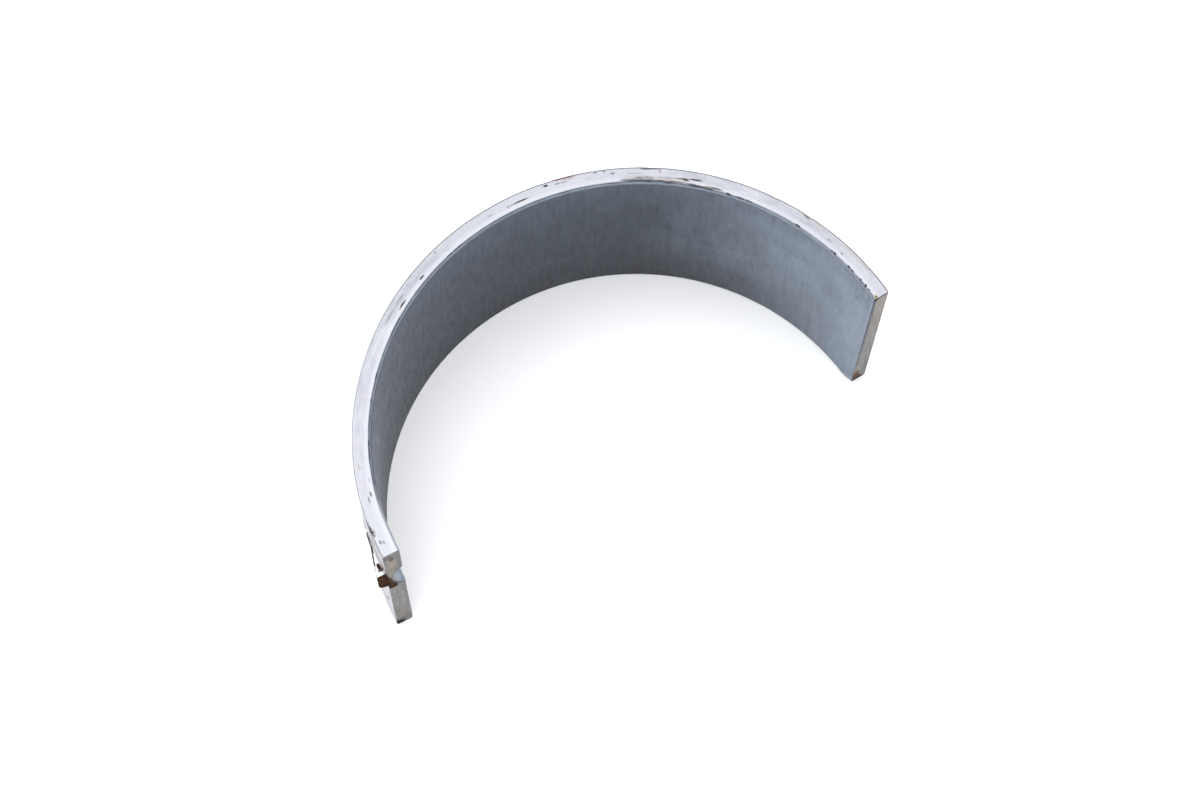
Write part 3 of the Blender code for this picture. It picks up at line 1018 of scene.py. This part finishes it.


# %% [markdown]
# ## The back and the lug's flanks
# The back is the bare steel of the strip, ground so that it seats well in its housing. It is light
# grey with fine lines round it, stained brown in places, and darker where it has lain in the damp.
# The punch has sheared the lug's upper flank, so fresh bright metal shows there, and a painted
# highlight lies on it.

# %% Finish of the back
BACK_STEEL = colour(167, 168, 173)
BACK_CLOUD = colour(126, 127, 131)
SHEARED_STEEL_AND_HIGHLIGHT = colour(194, 195, 198)
BACK_MARKS = {
    # each mark's place along, out from the bore and up in mm, its three sizes in mm, strength
    TAN: (
        (3.3, 2.8, 28.5, 4.6, 2.0, 7.4, 0.4), (0.9, 2.8, 27.0, 1.4, 2.0, 5.0, 0.3),
    ),
    GREY: (
        (5.2, 2.7, 31.8, 1.8, 2.0, 0.3, 0.6), (9.5, 2.8, 25.0, 3.0, 2.0, 9.0, 0.4),
    ),
    RUST: (
        (1.5, 3.05, 24.5, 1.2, 0.6, 1.0, 1.0), (1.0, 3.0, 24.5, 0.6, 0.9, 1.0, 0.9),
        (0.5, 4.02, 24.5, 0.8, 0.3, 0.9, 0.5), (1.6, 3.76, 24.5, 1.2, 0.3, 0.9, 0.5),
        (2.6, 3.5, 24.5, 1.8, 0.4, 0.9, 0.95), (3.5, 3.28, 24.5, 1.9, 0.4, 1.0, 0.95),
        (4.5, 3.03, 24.4, 2.2, 0.5, 1.2, 0.95), (5.7, 2.95, 24.3, 2.0, 0.5, 1.2, 0.9),
        (6.5, 2.95, 23.8, 0.9, 2.0, 2.0, 0.9), (4.1, 2.7, 31.85, 1.6, 2.0, 0.34, 0.9),
        (3.0, 2.75, 26.0, 2.4, 2.0, 1.3, 0.5), (4.2, 2.8, 30.9, 1.8, 2.0, 0.6, 0.8),
        (3.3, 2.8, 29.6, 0.8, 2.0, 1.6, 0.5),
    ),
    PIT: (
        (4.45, 2.8, 27.3, 0.7, 2.0, 2.2, 0.8), (4.5, 2.85, 25.1, 0.7, 2.0, 1.0, 0.8),
        (1.5, 2.8, 9.5, 0.7, 2.0, 2.0, 0.8),
    ),
}


def back_spot(along, out, up, *sizes):
    return (along, out, up), [size / 2 for size in sizes]


def back_finish():
    material, tree, shader = new_finish("ground_back", RUST_GLOSS)
    along, height = stored(tree, "along"), stored(tree, "height")
    lines = strip_grain(tree, (0.06, 0.0, 5.0))
    clouds = strip_grain(tree, (0.10, 0.0, 0.14), 1.0, 5.0)
    spots = strip_grain(tree, (0.5, 0.0, 0.5), 1.0, 4.0, 0.7)
    scuffs = strip_grain(tree, (0.9, 0.0, 2.6), 1.0, 4.0, 0.7)
    base = lay_coats(
        BACK_STEEL,
        (clouds, 0.38, 0.7, 0.6, BACK_CLOUD),
        (scuffs, 0.48, 0.72, 0.5, BACK_CLOUD),
        (lines, 0.5, 0.8, 0.5, LINE_STEEL),
        (spots, 0.62, 0.72, 0.6, STAIN_GREY),
    )

    out = real_across(tree)
    # The lug's upper flank is painted bright: fresh sheared metal, with a painted highlight on it.
    flank = fades((out, WALL + 0.06, WALL + 0.16, 0.0, 1.0),
                  (height, LUG_TOP - 0.5, LUG_TOP - 0.2, 0.0, 0.9))
    edge = fades((height, WIDTH - 0.3, WIDTH - 0.12, 0.0, 1.0), (along, 30.0, 55.0, 0.12, 0.85))
    base = blend_colours(flank, base, SHEARED_STEEL_AND_HIGHLIGHT)
    base = blend_colours(edge, base, STAIN_GREY)

    torn = ragged_place((along, out, height), (0.5, 0.25, 0.5), 2.0)
    masks = masks_of_kinds(torn, BACK_MARKS, back_spot)
    masks[RUST] = strongest(masks[RUST], rescale(spots, 0.7, 0.76, 0.0, 0.85))
    base = paint_marks(base, masks, grain(object_place(tree), 3.0, 3.0))
    crust = strongest(masks[RUST], masks[PIT])
    join_shader(
        shader, base,
        metallic=rescale(crust, 0.0, 0.8, 0.85, 0.1),
        roughness=plus(rescale(lines, 0.3, 0.7, 0.32, 0.46), times(crust, 0.4)),
        normal=bump(minus(lines, times(crust, 1.2)), 0.3, 0.03),
    )
    return material


# %% [markdown]
# ## The parting faces
# The two ends are cut square and show the strip in section: beige-grey steel, and beside the bore a
# dark line, which is the edge of the lining. Rust has started where they touch damp ground, and it
# has eaten the end of the lug all over.

# %% Finish of the parting faces and of the lug's end
PARTING_GREY = colour(86, 87, 87)
LINING_EDGE = colour(61, 68, 81)
LINING_THICKNESS = 0.64
LINING_SHOWS = {"lug": 0.35, "plain": 0.95}   # how dark the lining's edge is at each end
UPPER_SHEEN = {"lug": 0.0, "plain": 0.5}      # how much lighter the upper half is at each end
PARTING_CORE = {"lug": MARK_CORE, "plain": 0.4}
PARTING_MARKS = {
    # for each end, each mark's place across from the bore and up in mm, its width and height in mm
    # and its strength
    "lug": {
        OCHRE: (
            (1.6, 27.6, 2.0, 4.0, 0.12), (1.8, 24.0, 1.2, 3.0, 0.15), (1.3, 4.6, 3.0, 4.0, 0.12),
        ),
        TAN: (
            (1.35, 28.4, 1.0, 2.2, 0.4),
        ),
        GREY: (
            (0.6, 30.4, 1.2, 2.6, 0.35), (1.0, 23.0, 1.2, 5.0, 0.3), (1.3, 0.8, 4.0, 4.6, 0.7),
            (0.9, 17.0, 2.4, 1.0, 0.35), (1.6, 14.6, 2.4, 0.9, 0.3), (0.5, 15.8, 0.5, 2.2, 0.5),
        ),
        RUST: (
            (2.85, 21.6, 1.3, 6.4, 1.0), (2.6, 20.4, 1.6, 5.4, 1.0), (2.3, 19.1, 1.9, 2.6, 1.0),
            (1.95, 18.5, 1.7, 1.5, 1.0), (1.5, 30.0, 0.9, 1.6, 0.35), (2.0, 31.0, 1.9, 1.0, 0.35),
        ),
        ORANGE: (
            (2.3, 21.0, 0.3, 0.8, 0.5), (2.0, 19.0, 0.4, 0.5, 0.5), (1.5, 29.6, 0.8, 0.7, 0.35),
        ),
        PIT: (
            (2.35, 0.3, 2.4, 3.6, 1.0),
        ),
    },
    "plain": {
        TAN: (
            (0.8, 4.6, 1.3, 4.4, 0.6), (1.2, 31.4, 1.0, 0.8, 0.5),
        ),
        GREY: (
            (0.6, 25.4, 0.7, 4.4, 0.65), (0.55, 18.4, 0.6, 3.0, 0.6), (0.6, 13.6, 0.7, 4.4, 0.7),
            (0.55, 9.2, 0.7, 2.6, 0.75), (1.4, 1.0, 4.0, 4.0, 0.6),
        ),
        RUST: (
            (0.75, 2.6, 1.3, 5.2, 0.75), (1.1, 1.4, 2.2, 2.8, 0.85),
        ),
        ORANGE: (
            (0.8, 3.3, 0.9, 3.4, 0.5), (0.9, 1.6, 0.6, 1.4, 0.35),
        ),
        PIT: (
            (1.4, 0.0, 4.6, 2.6, 1.0), (0.5, 31.7, 1.4, 0.9, 0.9), (1.7, 32.0, 1.8, 0.5, 0.8),
            (2.4, 32.0, 0.9, 0.4, 0.7),
        ),
    },
}


def parting_spot(across, up, wide, tall):
    return (across, up, 0.0), (wide / 2, tall / 2, 1.0)


def parting_finish(end):
    material, tree, shader = new_finish("parting_face_" + end, RUST_GLOSS)
    across, height = stored(tree, "across"), stored(tree, "height")
    cut = strip_grain(tree, (0.0, 4.0, 0.35), 1.0, 4.0, 0.65)
    clouds = strip_grain(tree, (0.0, 0.6, 0.14))
    mottle = strip_grain(tree, (0.0, 1.6, 1.0), 1.0, 4.0, 0.7)
    base = lay_coats(
        PARTING_BEIGE,
        (clouds, 0.35, 0.65, 1.0, PARTING_GREY),
        (cut, 0.48, 0.72, 0.6, STAIN_GREY),
        (cut, 0.48, 0.28, 0.6, STAIN_TAN),
        (mottle, 0.46, 0.66, 0.75, STAIN_GREY),
        # Painted sheen: the upper half is painted lighter, in the tan stain colour, by UPPER_SHEEN at
        # each end.
        (height, 15.0, 29.0, UPPER_SHEEN[end], STAIN_TAN),
    )
    band = wandering(across, mottle, 0.5)
    starts, full = LINING_THICKNESS + 0.1, LINING_THICKNESS - 0.05
    lining = fades((height, 6.0, 20.0, 0.35, 1.0),
                   (band, starts, full, 0.0, LINING_SHOWS[end], "SMOOTHSTEP"))
    base = blend_colours(lining, base, LINING_EDGE)
    torn = ragged_place((real_across(tree), height, 0.0), (0.5, 0.7, 0.0), 1.3)
    masks = masks_of_kinds(torn, PARTING_MARKS[end], parting_spot, PARTING_CORE[end])
    base = paint_marks(base, masks, grain(object_place(tree), 3.0, 3.0))
    crust = strongest(masks[RUST], masks[ORANGE], masks[PIT])
    join_shader(
        shader, base,
        metallic=rescale(crust, 0.0, 0.8, 0.7, 0.05),
        roughness=plus(rescale(cut, 0.3, 0.7, 0.4, 0.55), times(crust, 0.35)),
        normal=bump(plus(cut, times(crust, 0.8)), 0.35, 0.04),
    )
    return material


def lug_end_finish():
    material, tree, shader = new_finish("rusted_lug_end", RUST_GLOSS)
    crust = grain(object_place(tree), 2.6, 5.0, 0.7)
    sparks = grain(object_place(tree), 5.0, 2.0, 0.5)
    base = lay_coats(RUST_DARK, (crust, 0.48, 0.66, 1.0, RUST_BROWN),
                     (sparks, 0.56, 0.66, 0.9, RUST_ORANGE))
    normal = bump(crust, 0.6, 0.08)
    join_shader(shader, base, metallic=0.05, roughness=0.85, normal=normal)
    return material


# %% Give each face its finish
FINISHES = {
    "side": side_face_finish(),
    "lining": lining_finish(),
    "recess": recess_finish(),
    "chamfer": chamfer_finish(),
    "back": back_finish(),
    "lug_parting": parting_finish("lug"),
    "plain_parting": parting_finish("plain"),
    "lug_end": lug_end_finish(),
}
ZONES = list(FINISHES)
RECESS_EDGE = 0.08                   # mm deep, where the recess starts to shine
LUG_END_DEPTH = 0.4                  # mm along; the lug's end face lies before this
FACES_END = 0.7                      # how far a normal must point out of the end to belong to it
SHARP_ANGLE = math.radians(55.0)


def zone_of(along, across, height, tangent):
    """Which surface a face belongs to, from the distances of its corners and its normal."""
    def all_near(values, place):
        return max(abs(value - place) for value in values) < NEAR

    if all_near(along, 0.0):
        return "lug_parting"
    if all_near(along, STRIP_LENGTH):
        return "plain_parting"
    if all_near(height, 0.0) or all_near(height, WIDTH):
        return "side"
    if all_near(across, 0.0):
        sunk = recess_sink(np.array(along), np.array(height)).mean()
        return "recess" if sunk > RECESS_EDGE else "lining"
    if all_near(across, WALL):
        return "lug_end" if max(along) < LUG_END_DEPTH and tangent > FACES_END else "back"
    middle = sum(across) / len(across)
    if min(along) < PARTING_EDGE_BREAK / 2:
        return "lug_parting"
    if max(along) > STRIP_LENGTH - PARTING_EDGE_BREAK / 2:
        return "plain_parting" if middle > PLAIN_END_WEAR else "lining"
    return "chamfer" if middle < WALL / 2 else "back"


def dress_faces(shell):
    mesh = shell.data
    mesh.materials.clear()
    for material in FINISHES.values():
        mesh.materials.append(material)
    stored_values = []
    for name in DISTANCES:
        values = np.empty(len(mesh.vertices), dtype=np.float32)
        mesh.attributes[name].data.foreach_get("value", values)
        stored_values.append(values)
    counts = dict.fromkeys(ZONES, 0)
    for face in mesh.polygons:
        corners = list(face.vertices)
        along, across, height = (values[corners].tolist() for values in stored_values)
        angle = LUG_END_ANGLE - sum(along) / len(along) / GAUGE_RADIUS
        tangent = -face.normal.x * math.sin(angle) + face.normal.y * math.cos(angle)
        zone = zone_of(along, across, height, tangent)
        face.material_index = ZONES.index(zone)
        counts[zone] += 1
    mesh.shade_smooth()
    mesh.set_sharp_from_angle(angle=SHARP_ANGLE)
    return counts


print("faces of each finish:", dress_faces(shell))

# %% [markdown]
# ## Floor and light
# The shell stands on a plain pale floor. Most of the light is an even white sky. A large soft lamp
# behind it on the left adds to the bore's slow change from slate to light grey, which is also painted
# into the lining as painted light, and a wider one overhead brightens the side face and keeps the
# shadow on the floor faint.

# %% Lay the floor and hang the lamps
FLOOR_REACH = 3.0                    # m to each side
FLOOR_DROP = 0.00002                 # m below the shell, so that the two don't share a plane
FLOOR_PALE = (0.97, 0.97, 0.97, 1.0)
SKY_WHITE = (0.97, 0.98, 1.0, 1.0)
SKY_STRENGTH = 1.4
LAMP_AIM = Vector((0.0, -0.02, 0.0))
LAMPS = (
    # name, place in m, width in m, watts
    ("back_left_lamp", (-0.55, 0.45, 0.75), 0.7, 3.4),
    ("overhead_lamp", (0.0, -0.1, 1.0), 1.2, 4.4),
)


def lay_floor():
    mesh = bpy.data.meshes.new("pale_floor")
    corners = [(right * FLOOR_REACH, forward * FLOOR_REACH, -FLOOR_DROP)
               for right, forward in ((-1, -1), (1, -1), (1, 1), (-1, 1))]
    mesh.from_pydata(corners, [], [(0, 1, 2, 3)])
    floor = bpy.data.objects.new("pale_floor", mesh)
    bpy.context.scene.collection.objects.link(floor)
    material, _, shader = new_finish("pale_floor")
    shader.inputs["Base Color"].default_value = FLOOR_PALE
    shader.inputs["Roughness"].default_value = 0.9
    mesh.materials.append(material)


def hang_lamp(name, place, size, watts):
    lamp = bpy.data.lights.new(name, "AREA")
    lamp.shape = "SQUARE"
    lamp.size = size
    lamp.energy = watts
    made = bpy.data.objects.new(name, lamp)
    made.location = place
    made.rotation_euler = (LAMP_AIM - Vector(place)).to_track_quat("-Z", "Y").to_euler()
    bpy.context.scene.collection.objects.link(made)


def light_sky():
    world = bpy.data.worlds.new("even_sky")
    world.use_nodes = True
    background = world.node_tree.nodes["Background"]
    background.inputs["Color"].default_value = SKY_WHITE
    background.inputs["Strength"].default_value = SKY_STRENGTH
    bpy.context.scene.world = world


lay_floor()
light_sky()
for lamp_values in LAMPS:
    hang_lamp(*lamp_values)
bpy.context.scene.view_settings.view_transform = "Standard"
print("lamps hung:", [lamp_values[0] for lamp_values in LAMPS])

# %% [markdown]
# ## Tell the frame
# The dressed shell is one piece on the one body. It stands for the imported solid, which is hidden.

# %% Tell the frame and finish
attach(shell, "root")
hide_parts("bearing_shell")
